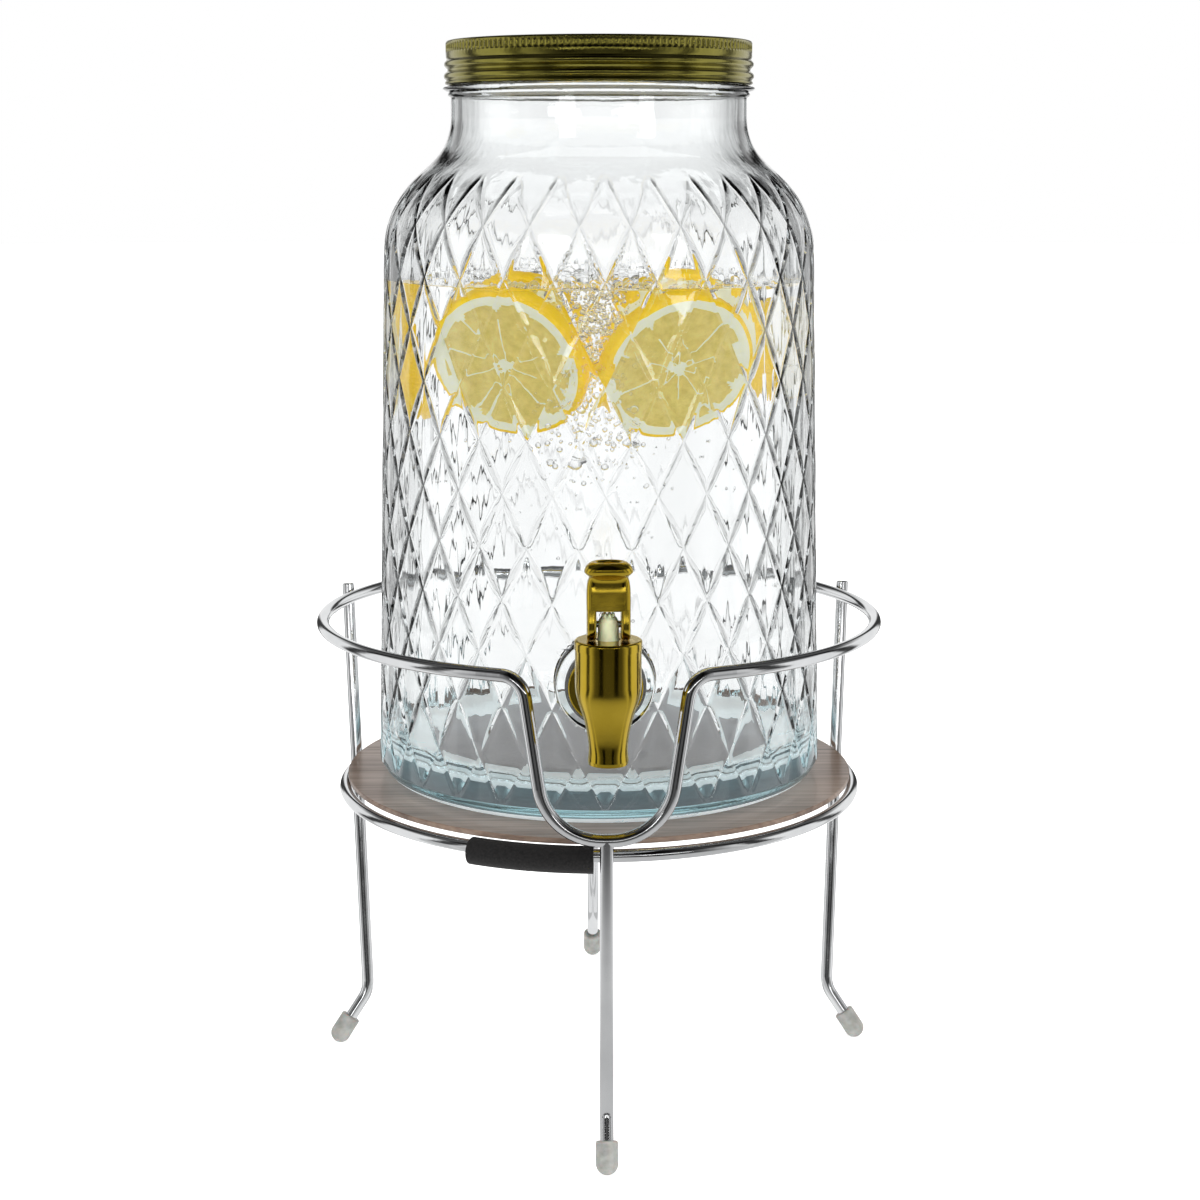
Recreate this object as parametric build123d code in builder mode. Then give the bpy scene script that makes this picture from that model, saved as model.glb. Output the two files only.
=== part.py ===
from build123d import *
from math import cos, radians, sin, sqrt, tan
import os

# Countertop drink dispenser: a glass jar with a tap, standing on a board in a chromed wire stand.
# Millimetres. +Z up, -Y towards the tap, origin on the floor under the jar's axis.

# ---- driving dimensions -------------------------------------------------------------------
# stand wire
wire_r = 2.6
weld_gap = 0.05                 # keeps a leg just off the ring it is welded to
lower_ring_r = 106.8            # ring centrelines
lower_ring_z = 122.4
upper_ring_r = 115.0
upper_ring_z = 193.1
bar_r = 2.0                     # thin bars that carry the board
bar_z = 124.4
bar_end_r = 105.6               # the bars end on the ring's inner shoulder

# U-shaped dip at the front of the upper ring, which clears the tap
dip_start_deg = 24.5            # half angle of the ring that the dip replaces
dip_y = -112.0
dip_bottom_z = 129.9
dip_bottom_half_width = 22.4
dip_corner_r = 9.0
dip_bottom_r = 24.0

# legs: each one is straight down to a bend, then flares out to the foot
leg_bend_z = 22.0
leg_bend_r = 12.0
foot_z = 4.0                    # centre of the rounded end of a foot cap
foot_circle_r = 119.0
side_top_y = 50.5               # the side legs lean back towards the top
side_lower_y = 37.0
side_foot = (113.0, 13.5)
leg_above_ring = 4.4
cap_r = 4.3
cap_length = 8.5

# foam sleeve slit along its length, pushed on to the lower ring
sleeve_r = 5.3
sleeve_drop = 1.6
sleeve_from_deg = -28.6         # from straight ahead, negative to -X
sleeve_to_deg = -2.6

# board
board_r = 105.8
board_thickness = 2.2
board_bottom_z = bar_z + bar_r

# jar
jar_z = board_bottom_z + board_thickness
jar_floor = 11.5                # thickness of the glass base
jar_rim_z = 425.0
rim_outer_r = 59.0
rim_inner_r = 55.6
neck_r = 59.7
boss_r = 19.0
boss_y = -94.0                  # outer and inner flats for the tap's seals
boss_inner_y = -84.5

# tap
tap_y = -130.0                  # vertical axis of the tap
tap_z = 185.5                   # axis of the shank
shank_r = 8.0
hole_clearance = 0.25
flange_r = 14.25
gasket_r = 15.5
gasket_t = 2.0
tap_bottom_z = 165.0
tap_body_top_z = 207.8
bonnet_top_z = 211.3
tap_body_r = 12.1
outlet_r = 5.2
chamber_r = 7.4
passage_r = 4.0
seat_z = 180.4
seat_height = 3.5

# lever and plunger
pin_z = 216.9
pin_r = 1.25
lever_half_width = 8.0
lever_slot_half = 4.3
lever_tilt_deg = 70.0
plunger_lift = 3.0
lever_gap = 0.3                 # under the cam, at every tilt
knob_r = 3.8

# lid
lid_bottom_z = 411.4
lid_top_z = 428.6
lid_r = 61.5
lid_ridge_r = 62.4
lid_wall = 0.8
liner_r = 59.4
liner_t = 1.8

os.makedirs("parts", exist_ok=True)


# ---- stand: rings -------------------------------------------------------------------------
with BuildPart() as lower_ring:
    with BuildSketch(Plane.XZ) as lower_ring_section:
        with Locations((lower_ring_r, lower_ring_z)):
            Circle(wire_r)
    revolve(axis=Axis.Z)

# The upper ring leaves its circle along a tangent, turns down and crosses under the tap.
dip_start = (
    upper_ring_r * sin(radians(dip_start_deg)),
    -upper_ring_r * cos(radians(dip_start_deg)),
)
dip_run = (dip_start[1] - dip_y) / sin(radians(dip_start_deg))
dip_corner_x = dip_start[0] - dip_run * cos(radians(dip_start_deg))

with BuildPart() as upper_ring:
    with BuildSketch(Plane.XZ.rotated((0, 0, dip_start_deg - 90))) as upper_ring_section:
        with Locations((upper_ring_r, upper_ring_z)):
            Circle(wire_r)
    revolve(axis=Axis.Z, revolution_arc=360 - 2 * dip_start_deg)
    with BuildLine() as dip_path:
        FilletPolyline(
            (dip_start[0], dip_start[1], upper_ring_z),
            (dip_corner_x, dip_y, upper_ring_z),
            (dip_bottom_half_width, dip_y, dip_bottom_z),
            (-dip_bottom_half_width, dip_y, dip_bottom_z),
            (-dip_corner_x, dip_y, upper_ring_z),
            (-dip_start[0], dip_start[1], upper_ring_z),
            radius=[dip_corner_r, dip_bottom_r, dip_bottom_r, dip_corner_r],
        )
    with BuildSketch(Plane(dip_path.line @ 0, z_dir=dip_path.line % 0)):
        Circle(wire_r)
    sweep(path=dip_path.line)


# ---- stand: legs and feet -----------------------------------------------------------------
def side_leg_centre(y, ring_r):
    """X of a side leg where it passes outside a ring at this Y."""
    return sqrt((ring_r + 2 * wire_r + weld_gap) ** 2 - y**2)


side_top_x = side_leg_centre(side_top_y, upper_ring_r)
side_lower_x = side_leg_centre(side_lower_y, lower_ring_r)
lean_x = (side_top_x - side_lower_x) / (upper_ring_z - lower_ring_z)
lean_y = (side_top_y - side_lower_y) / (upper_ring_z - lower_ring_z)


def side_leg_point(z):
    """Point of the right leg's straight length at height z."""
    return (side_lower_x + lean_x * (z - lower_ring_z), side_lower_y + lean_y * (z - lower_ring_z), z)


upright_y = lower_ring_r + 2 * wire_r + weld_gap
feet = {
    "front": (0, -foot_circle_r, foot_z),
    "rear": (0, foot_circle_r, foot_z),
    "right": (side_foot[0], side_foot[1], foot_z),
    "left": (-side_foot[0], side_foot[1], foot_z),
}

with BuildPart() as leg_front:
    with BuildLine() as leg_front_path:
        FilletPolyline(
            feet["front"], (0, -upright_y, leg_bend_z), (0, -upright_y, dip_bottom_z), radius=leg_bend_r
        )
    with BuildSketch(Plane(leg_front_path.line @ 0, z_dir=leg_front_path.line % 0)):
        Circle(wire_r)
    sweep(path=leg_front_path.line)
    # saddle cut against the bottom of the dip
    with BuildSketch(Plane.YZ.offset(-10)):
        with Locations((dip_y, dip_bottom_z)):
            Circle(wire_r)
        with Locations((dip_y, dip_bottom_z + 3 * wire_r)):
            Rectangle(6 * wire_r, 6 * wire_r)
    extrude(amount=20, mode=Mode.SUBTRACT)

with BuildPart() as leg_rear:
    with BuildLine() as leg_rear_path:
        FilletPolyline(
            feet["rear"],
            (0, upright_y, leg_bend_z),
            (0, upright_y, lower_ring_z + wire_r),
            radius=leg_bend_r,
        )
    with BuildSketch(Plane(leg_rear_path.line @ 0, z_dir=leg_rear_path.line % 0)):
        Circle(wire_r)
    sweep(path=leg_rear_path.line)
    fillet(leg_rear.faces().sort_by(Axis.Z)[-1].edges(), 0.6)

with BuildPart() as leg_right:
    with BuildLine() as leg_right_path:
        FilletPolyline(
            feet["right"],
            side_leg_point(leg_bend_z),
            side_leg_point(upper_ring_z + leg_above_ring),
            radius=leg_bend_r,
        )
    with BuildSketch(Plane(leg_right_path.line @ 0, z_dir=leg_right_path.line % 0)):
        Circle(wire_r)
    sweep(path=leg_right_path.line)
    fillet(leg_right.faces().sort_by(Axis.Z)[-1].edges(), 0.6)

with BuildPart() as leg_left:
    add(mirror(leg_right.part, about=Plane.YZ))

# Each foot cap is a soft round-ended sleeve on the last stretch of a leg, worn flat at the floor.
leg_paths = {"front": leg_front_path, "rear": leg_rear_path, "right": leg_right_path}
leg_parts = {"front": leg_front, "rear": leg_rear, "right": leg_right}
foot_caps = {}
for side, path in leg_paths.items():
    with BuildPart() as cap:
        with BuildSketch(Plane(path.line @ 0, z_dir=path.line % 0)):
            Circle(cap_r)
        extrude(amount=cap_length)
        fillet(cap.faces().sort_by(Axis.Z)[-1].edges(), 0.8)
        with Locations(Location(path.line @ 0)):
            Sphere(cap_r)
        split(bisect_by=Plane.XY, keep=Keep.TOP)
        add(leg_parts[side].part, mode=Mode.SUBTRACT)
    foot_caps[side] = cap
with BuildPart() as cap:
    add(mirror(foot_caps["right"].part, about=Plane.YZ))
foot_caps["left"] = cap


# ---- stand: bars and sleeve ---------------------------------------------------------------
with BuildPart() as bar_cross:
    with BuildSketch(Plane.YZ.offset(-bar_end_r)):
        with Locations((0, bar_z)):
            Circle(bar_r)
    extrude(amount=2 * bar_end_r)
    add(lower_ring.part, mode=Mode.SUBTRACT)
    add(bar_cross.solids().sort_by(SortBy.VOLUME)[-1], mode=Mode.REPLACE)

with BuildPart() as bar_rear:
    with BuildSketch(Plane.XZ):
        with Locations((0, bar_z)):
            Circle(bar_r)
    extrude(amount=-bar_end_r)
    add(lower_ring.part, mode=Mode.SUBTRACT)
    add(bar_cross.part, mode=Mode.SUBTRACT)
    add(bar_rear.solids().sort_by(SortBy.VOLUME)[-1], mode=Mode.REPLACE)

with BuildPart() as bar_front:
    add(mirror(bar_rear.part, about=Plane.XZ))

with BuildPart() as ring_sleeve:
    with BuildSketch(Plane.XZ.rotated((0, 0, sleeve_from_deg - 90))) as sleeve_section:
        with Locations((lower_ring_r, lower_ring_z - sleeve_drop)):
            Circle(sleeve_r)
        with Locations((lower_ring_r, lower_ring_z)):
            Circle(wire_r, mode=Mode.SUBTRACT)
        with Locations((lower_ring_r, lower_ring_z - sleeve_drop - sleeve_r / 2 - wire_r / 2)):
            Rectangle(0.9, sleeve_r, mode=Mode.SUBTRACT)
    revolve(axis=Axis.Z, revolution_arc=sleeve_to_deg - sleeve_from_deg)


# ---- board --------------------------------------------------------------------------------
with BuildPart() as base_board:
    with BuildSketch(Plane.XY.offset(board_bottom_z)):
        Circle(board_r)
    extrude(amount=board_thickness)
    chamfer(base_board.edges(), 0.3)


# ---- jar ----------------------------------------------------------------------------------
with BuildPart() as glass_jar:
    with BuildSketch(Plane.XZ) as jar_wall:
        with BuildLine():
            Line((0, jar_z), (83.4, jar_z))
            RadiusArc((83.4, jar_z), (92.4, jar_z + 9.0), -9.0)
            # the body narrows a little towards the shoulder
            FilletPolyline(
                (92.4, jar_z + 9.0), (87.3, 363.4), (neck_r, 387.3), (neck_r, 406.2),
                radius=[42, 24],
            )
            Polyline((neck_r, 406.2), (60.9, 407.2), (60.9, 407.9), (60.2, 408.5))
            Polyline((60.2, 408.5), (62.2, 409.1), (63.1, 409.9), (62.2, 410.7), (rim_outer_r, 411.0))
            Polyline((rim_outer_r, 411.0), (rim_outer_r, 414.0), (60.0, 414.8), (rim_outer_r, 416.0))
            Polyline((rim_outer_r, 416.0), (rim_outer_r, 419.0), (60.0, 419.8), (rim_outer_r, 421.0))
            Line((rim_outer_r, 421.0), (rim_outer_r, jar_rim_z))
            Line((rim_outer_r, jar_rim_z), (rim_inner_r, jar_rim_z))
            FilletPolyline(
                (rim_inner_r, jar_rim_z), (rim_inner_r, 385.3), (83.4, 361.2),
                (88.0, jar_z + jar_floor + 14),
                radius=[20, 32],
            )
            RadiusArc((88.0, jar_z + jar_floor + 14), (74.0, jar_z + jar_floor), 14)
            Line((74.0, jar_z + jar_floor), (0, jar_z + jar_floor))
            Line((0, jar_z + jar_floor), (0, jar_z))
        make_face()
    revolve(axis=Axis.Z)
    # pad that gives the tap a flat seat inside and out, and the hole through it
    with BuildSketch(Plane.XZ.offset(-boss_inner_y)):
        with Locations((0, tap_z)):
            Circle(boss_r)
    extrude(amount=boss_inner_y - boss_y)
    fillet(glass_jar.faces().filter_by(Axis.Y).sort_by(Axis.Y)[0].edges(), 0.8)
    with BuildSketch(Plane.XZ.offset(-boss_inner_y - 20)):
        with Locations((0, tap_z)):
            Circle(shank_r + hole_clearance)
    extrude(amount=40, mode=Mode.SUBTRACT)


# ---- tap: fixed pieces --------------------------------------------------------------------
flange_y = boss_y - gasket_t             # back of the flange, on the outer gasket
nut_y = boss_inner_y + gasket_t
nut_t = 7.0
shank_end_y = nut_y + nut_t + 2.5
tap_axis = Axis((0, tap_y, 0), (0, 0, 1))
tap_section_plane = Plane.XZ.offset(-tap_y)

with BuildPart() as tap_body:
    with BuildSketch(tap_section_plane) as tap_outside:
        with BuildLine():
            Polyline((0, tap_body_top_z), (tap_body_r, tap_body_top_z), (tap_body_r, tap_bottom_z + 29.3))
            Spline(
                (tap_body_r, tap_bottom_z + 29.3),
                (11.5, tap_bottom_z + 24.8),
                (9.5, tap_bottom_z + 18.4),
                (8.0, tap_bottom_z + 12.5),
                (7.2, tap_bottom_z + 6.6),
                (7.5, tap_bottom_z + 1.4),
                tangents=[(0, -1), (0.1, -1)],
            )
            Polyline(
                (7.5, tap_bottom_z + 1.4), (7.3, tap_bottom_z), (0, tap_bottom_z), (0, tap_body_top_z)
            )
        make_face()
    revolve(axis=tap_axis)
    # shank through the glass, and the flange that clamps the outer gasket
    with BuildSketch(Plane.XZ.offset(-shank_end_y)):
        with Locations((0, tap_z)):
            Circle(shank_r)
    extrude(amount=shank_end_y - tap_y)
    with BuildSketch(Plane.XZ.offset(-flange_y)):
        with Locations((0, tap_z)):
            Circle(flange_r)
    extrude(amount=3.0)
    fillet(tap_body.faces().filter_by(Axis.Y).sort_by(Axis.Y)[0].edges(), 0.9)
    # outlet, conical seat and chamber
    with BuildSketch(tap_section_plane) as tap_inside:
        with BuildLine():
            Polyline(
                (0, tap_bottom_z - 1),
                (outlet_r, tap_bottom_z - 1),
                (outlet_r, seat_z),
                (chamber_r, seat_z + seat_height),
                (chamber_r, tap_body_top_z + 1),
                (0, tap_body_top_z + 1),
                close=True,
            )
        make_face()
    revolve(axis=tap_axis, mode=Mode.SUBTRACT)
    with BuildSketch(Plane.XZ.offset(-shank_end_y + 1)):
        with Locations((0, tap_z)):
            Circle(passage_r)
    extrude(amount=shank_end_y + 1 - tap_y, mode=Mode.SUBTRACT)

with BuildPart() as tap_gasket_outer:
    with BuildSketch(Plane.XZ.offset(-boss_y)):
        with Locations((0, tap_z)):
            Circle(gasket_r)
            Circle(shank_r, mode=Mode.SUBTRACT)
    extrude(amount=gasket_t)

with BuildPart() as tap_gasket_inner:
    with BuildSketch(Plane.XZ.offset(-boss_inner_y)):
        with Locations((0, tap_z)):
            Circle(gasket_r - 1.5)
            Circle(shank_r, mode=Mode.SUBTRACT)
    extrude(amount=-gasket_t)

with BuildPart() as tap_nut:
    with BuildSketch(Plane.XZ.offset(-nut_y)):
        with Locations((0, tap_z)):
            RegularPolygon(13.5, 6)
            Circle(shank_r, mode=Mode.SUBTRACT)
    extrude(amount=-nut_t)
    chamfer(tap_nut.edges().filter_by(Axis.Y), 1.0)

with BuildPart() as tap_bonnet:
    with BuildSketch(Plane.XY.offset(tap_body_top_z)):
        with Locations((0, tap_y)):
            Circle(tap_body_r + 0.25)
            Circle(knob_r + 0.6, mode=Mode.SUBTRACT)
    extrude(amount=bonnet_top_z - tap_body_top_z)
    fillet(tap_bonnet.faces().sort_by(Axis.Z)[-1].edges().sort_by(SortBy.LENGTH)[-1], 0.9)


# ---- tap: plunger, pin and lever ----------------------------------------------------------
with BuildPart() as plunger:
    with BuildSketch(tap_section_plane) as plunger_section:
        with BuildLine():
            Polyline(
                (0, seat_z + 1.2),
                (outlet_r - 0.3, seat_z + 1.2),
                (chamber_r - 0.7, seat_z + seat_height),
                (chamber_r - 0.7, seat_z + 6.5),
                (3.0, seat_z + 8.5),
                (3.0, seat_z + 18.2),
                (chamber_r - 0.5, seat_z + 20.0),
                (chamber_r - 0.5, seat_z + 22.2),
                (knob_r, seat_z + 23.4),
                (knob_r, pin_z),
            )
            RadiusArc((knob_r, pin_z), (0, pin_z + knob_r), -knob_r)
            Line((0, pin_z + knob_r), (0, seat_z + 1.2))
        make_face()
    revolve(axis=tap_axis)
    with BuildSketch(Plane.YZ.offset(-10)):
        with Locations((tap_y, pin_z)):
            Circle(pin_r)
    extrude(amount=20, mode=Mode.SUBTRACT)

with BuildPart() as lever_pin:
    with BuildSketch(Plane.YZ.offset(-lever_half_width + 0.4)):
        with Locations((tap_y, pin_z)):
            Circle(pin_r)
    extrude(amount=2 * lever_half_width - 0.8)

# The foot of the lever is a cam. Its reach below the pin grows evenly with the tilt, so it lifts
# the pin and the plunger by plunger_lift over the full tilt, at a constant gap from the bonnet.
cam_start = pin_z - bonnet_top_z - lever_gap
cam_rate = plunger_lift / radians(lever_tilt_deg)


def cam_point(angle):
    """Point of the cam that is lowest when the lever is tilted by this angle (radians)."""
    reach = cam_start + cam_rate * angle
    return (
        tap_y - reach * sin(angle) - cam_rate * cos(angle),
        pin_z - reach * cos(angle) + cam_rate * sin(angle),
    )


cam_curve = [cam_point(radians(a)) for a in range(0, int(lever_tilt_deg) + 1, 10)]

with BuildPart() as tap_lever:
    with BuildSketch(Plane.YZ.offset(-lever_half_width)) as lever_side:
        with BuildLine():
            Line((tap_y + 5.2, pin_z - cam_start), cam_curve[0])
            Spline(*cam_curve)
            Polyline(cam_curve[-1], (tap_y - 8.2, pin_z + 3.0), (tap_y - 5.6, pin_z + 15.0))
            Spline(
                (tap_y - 5.6, pin_z + 15.0), (tap_y - 6.6, pin_z + 17.6), (tap_y - 9.4, pin_z + 19.0),
                tangents=[(-0.05, 1), (-1, 0.2)],
            )
            Polyline(
                (tap_y - 9.4, pin_z + 19.0), (tap_y - 10.6, pin_z + 21.6), (tap_y - 9.6, pin_z + 23.4),
                (tap_y + 0.6, pin_z + 23.8), (tap_y + 1.8, pin_z + 22.4), (tap_y + 2.4, pin_z + 14.0),
                (tap_y + 4.6, pin_z + 4.0), (tap_y + 5.2, pin_z - cam_start),
            )
        make_face()
    extrude(amount=2 * lever_half_width)
    fillet(tap_lever.edges().filter_by(Axis.X).filter_by_position(Axis.Z, pin_z + 20, pin_z + 25), 0.7)
    chamfer(tap_lever.faces().filter_by(Axis.X).edges(), 0.6)
    # slot that straddles the plunger's knob
    with BuildSketch(Plane.YZ.offset(-lever_slot_half)):
        with Locations((tap_y, pin_z - 1.0)):
            Rectangle(40, 14)
    extrude(amount=2 * lever_slot_half, mode=Mode.SUBTRACT)
    with BuildSketch(Plane.YZ.offset(-lever_half_width - 1)):
        with Locations((tap_y, pin_z)):
            Circle(pin_r + 0.05)
    extrude(amount=2 * lever_half_width + 2, mode=Mode.SUBTRACT)
    # oval recess in the finger pad
    with BuildSketch(Plane.XY.offset(pin_z + 22.3)):
        with Locations((0, tap_y - 4.6)):
            Ellipse(4.2, 2.6)
    extrude(amount=4, mode=Mode.SUBTRACT)


# ---- lid ----------------------------------------------------------------------------------
with BuildPart() as lid_shell:
    with BuildSketch(Plane.XZ) as lid_section:
        with BuildLine():
            Polyline(
                (0, lid_top_z),
                (lid_r - 0.5, lid_top_z),
                (lid_r + 0.3, lid_top_z - 0.9),
                (lid_r + 0.3, lid_top_z - 5.5),
                (lid_r, lid_top_z - 6.0),
                (lid_r, lid_top_z - 7.4),
                (lid_ridge_r, lid_top_z - 8.2),
                (lid_ridge_r, lid_top_z - 9.0),
                (lid_r, lid_top_z - 9.8),
                (lid_r, lid_top_z - 12.5),
                (lid_ridge_r, lid_top_z - 13.3),
                (lid_ridge_r, lid_top_z - 14.1),
                (lid_r, lid_top_z - 14.9),
                (lid_r, lid_top_z - 15.3),
                (lid_ridge_r, lid_top_z - 15.9),
                (lid_ridge_r, lid_bottom_z + 0.4),
                (lid_ridge_r - 0.4, lid_bottom_z),
                (lid_r - lid_wall + 0.3, lid_bottom_z),
                (lid_r - lid_wall, lid_bottom_z + 0.5),
                (lid_r - lid_wall, lid_top_z - 1.6),
                (lid_r - lid_wall - 0.7, lid_top_z - 0.9),
                (0, lid_top_z - 0.9),
                close=True,
            )
        make_face()
    revolve(axis=Axis.Z)

with BuildPart() as lid_liner:
    with BuildSketch(Plane.XY.offset(jar_rim_z)):
        Circle(liner_r)
    extrude(amount=liner_t)


# ---- export -------------------------------------------------------------------------------
pieces = {
    "lower_ring": lower_ring,
    "upper_ring": upper_ring,
    "leg_front": leg_front,
    "leg_rear": leg_rear,
    "leg_left": leg_left,
    "leg_right": leg_right,
    "foot_cap_front": foot_caps["front"],
    "foot_cap_rear": foot_caps["rear"],
    "foot_cap_left": foot_caps["left"],
    "foot_cap_right": foot_caps["right"],
    "bar_cross": bar_cross,
    "bar_front": bar_front,
    "bar_rear": bar_rear,
    "ring_sleeve": ring_sleeve,
    "base_board": base_board,
    "glass_jar": glass_jar,
    "tap_body": tap_body,
    "tap_bonnet": tap_bonnet,
    "tap_gasket_outer": tap_gasket_outer,
    "tap_gasket_inner": tap_gasket_inner,
    "tap_nut": tap_nut,
    "tap_plunger": plunger,
    "lever_pin": lever_pin,
    "tap_lever": tap_lever,
    "lid_liner": lid_liner,
    "lid_shell": lid_shell,
}
for name, piece in pieces.items():
    piece.part.label = name
    export_step(piece.part, f"parts/{name}.step")
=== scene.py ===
import math
import random

import bmesh
import bpy
import numpy as np
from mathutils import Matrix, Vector, noise
from mathutils.bvhtree import BVHTree


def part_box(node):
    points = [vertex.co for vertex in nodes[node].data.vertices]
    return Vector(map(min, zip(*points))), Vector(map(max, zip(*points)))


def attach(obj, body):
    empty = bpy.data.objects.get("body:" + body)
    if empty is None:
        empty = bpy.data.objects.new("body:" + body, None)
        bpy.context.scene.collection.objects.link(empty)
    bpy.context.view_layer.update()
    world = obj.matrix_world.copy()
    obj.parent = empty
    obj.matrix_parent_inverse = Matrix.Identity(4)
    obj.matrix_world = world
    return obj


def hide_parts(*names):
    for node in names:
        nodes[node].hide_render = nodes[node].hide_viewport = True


# Drink dispenser: pressed-glass jar with a tap, in a chromed wire stand. Metres, +Z up, -Y towards
# the tap, as the frame has it. Sizes below are in metres, and MM turns a number of millimetres
# into metres where that reads better.
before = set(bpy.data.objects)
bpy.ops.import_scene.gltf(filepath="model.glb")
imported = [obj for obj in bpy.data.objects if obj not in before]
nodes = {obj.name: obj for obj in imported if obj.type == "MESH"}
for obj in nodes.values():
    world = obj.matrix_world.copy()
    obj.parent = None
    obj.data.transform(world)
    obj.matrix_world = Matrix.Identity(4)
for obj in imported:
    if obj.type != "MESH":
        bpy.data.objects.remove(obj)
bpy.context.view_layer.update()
MM = 0.001


# ---- camera, light and floor --------------------------------------------------------------
def put(name, data):
    thing = bpy.data.objects.new(name, data)
    bpy.context.scene.collection.objects.link(thing)
    return thing


def add_camera():
    """The camera stands in front of the jar, a little to the left, and looks slightly down."""
    distance, height, pitch, swing = 0.919, 0.3844, math.radians(9.83), math.radians(1.5)
    data = bpy.data.cameras.new("camera")
    data.lens = 67.0
    data.sensor_width = 36.0
    data.shift_x = 0.0009
    data.shift_y = -0.05
    camera = put("camera", data)
    camera.location = (-distance * math.sin(swing), -distance * math.cos(swing), height)
    camera.rotation_euler = (math.pi / 2 - pitch, 0, -swing)
    bpy.context.scene.camera = camera


def math_node(tree, operation, a, b=None, c=None):
    node = tree.nodes.new("ShaderNodeMath")
    node.operation = operation
    for socket, value in zip(node.inputs, (a, b, c)):
        if value is None:
            continue
        if isinstance(value, (int, float)):
            socket.default_value = value
        else:
            tree.links.new(value, socket)
    return node.outputs[0]


def map_range(tree, value, low, high, out_low=0.0, out_high=1.0, smooth=True):
    node = tree.nodes.new("ShaderNodeMapRange")
    node.interpolation_type = "SMOOTHSTEP" if smooth else "LINEAR"
    tree.links.new(value, node.inputs["Value"])
    for name, number in (
        ("From Min", low), ("From Max", high), ("To Min", out_low), ("To Max", out_high)
    ):
        node.inputs[name].default_value = number
    return node.outputs["Result"]


def studio_turn(tree, x, y):
    """Turn about the jar, 0 straight behind it."""
    return math_node(tree, "ARCTAN2", x, y)


def seen_through(tree, turn):
    """Brightness behind the glass: pale straight behind it and on three more sides."""
    quarters = math_node(tree, "COSINE", math_node(tree, "MULTIPLY", turn, 4.0))
    return map_range(tree, quarters, -0.80, 0.92, 0.12, 1.10, smooth=False)


def seen_mirrored(tree, turn):
    """Brightness in reflections: dark in front of the tap, pale with narrow gaps elsewhere."""
    aside = map_range(tree, math_node(tree, "COSINE", turn), -0.80, -0.40, 0.09, 0.95)
    eighths = math_node(tree, "COSINE", math_node(tree, "MULTIPLY", turn, 8.0))
    return math_node(tree, "MULTIPLY", aside, map_range(tree, eighths, -0.92, -0.30, 0.05, 1.0))


def reflected_ray(tree, rays):
    """1 for a mirrored ray. A ray that glass lets through counts as glossy too."""
    kept = math_node(tree, "SUBTRACT", 1.0, rays["Is Transmission Ray"])
    return math_node(tree, "MULTIPLY", rays["Is Glossy Ray"], kept)


FRONT_STRIP = 1.5
SOFT_FILL = 0.9                         # brightness of the studio for light that is scattered


def add_world():
    """A white studio, dimmer where glass and chrome need something dark to show."""
    world = bpy.data.worlds.new("studio")
    world.use_nodes = True
    tree = world.node_tree
    background = tree.nodes["Background"]
    direction = tree.nodes.new("ShaderNodeTexCoord").outputs["Generated"]
    split = tree.nodes.new("ShaderNodeSeparateXYZ")
    tree.links.new(direction, split.inputs[0])
    x, y, z = split.outputs
    turn = studio_turn(tree, x, y)
    rays = tree.nodes.new("ShaderNodeLightPath").outputs
    upward_through = map_range(tree, z, 0.02, 0.40, 0.93, 0.24)
    through = math_node(tree, "MULTIPLY", seen_through(tree, turn), upward_through)
    # a bright strip low in front gives the lid and the tap their highlights
    strip_foot = map_range(tree, z, 0.08, 0.11, 0.0, FRONT_STRIP)
    strip = math_node(tree, "MULTIPLY", strip_foot, map_range(tree, z, 0.16, 0.20, 1.0, 0.0))
    in_front = map_range(tree, math_node(tree, "COSINE", turn), -0.97, -0.75, 1.0, 0.0)
    strip = math_node(tree, "MULTIPLY", strip, in_front)
    upward_mirrored = map_range(tree, z, 0.30, 0.55, 1.0, 0.10)
    mirrored = math_node(tree, "MULTIPLY", seen_mirrored(tree, turn), upward_mirrored)
    mirrored = math_node(tree, "MAXIMUM", mirrored, strip)
    strength = math_node(tree, "MULTIPLY", rays["Is Diffuse Ray"], SOFT_FILL)
    strength = math_node(tree, "ADD", strength, rays["Is Camera Ray"])
    strength = math_node(tree, "MULTIPLY_ADD", rays["Is Transmission Ray"], through, strength)
    strength = math_node(tree, "MULTIPLY_ADD", reflected_ray(tree, rays), mirrored, strength)
    background.inputs["Color"].default_value = (1, 1, 1, 1)
    tree.links.new(strength, background.inputs["Strength"])
    bpy.context.scene.world = world


def add_area(name, place, target, size, power, seen=True):
    data = bpy.data.lights.new(name, "AREA")
    data.shape = "RECTANGLE"
    data.size, data.size_y = size
    data.energy = power
    light = put(name, data)
    light.location = place
    aim = Vector(target) - Vector(place)
    light.rotation_euler = aim.to_track_quat("-Z", "Y").to_euler()
    light.visible_glossy = seen


def add_lights():
    centre = (0, 0, 0.22)
    add_area("overhead", (0, -0.1, 2.4), centre, (2.6, 2.6), 48, seen=False)
    add_area("front_left", (-0.95, -1.9, 0.75), centre, (0.5, 1.0), 9, seen=False)
    add_area("front_right", (1.2, -1.65, 0.75), centre, (0.5, 1.0), 9, seen=False)
    # low strips that give the glass its two catch lights
    for name, turn in (("strip_left", -24), ("strip_right", 26)):
        across, ahead = math.sin(math.radians(turn)), -math.cos(math.radians(turn))
        add_area(name, (2.0 * across, 2.0 * ahead, 0.41), (0, 0, 0.395), (0.75, 0.06), 0.6)


FLOOR_GLOW = 0.62                       # a light table: its own glow keeps the floor evenly pale
FLOOR_REACH = 9.0


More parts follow.
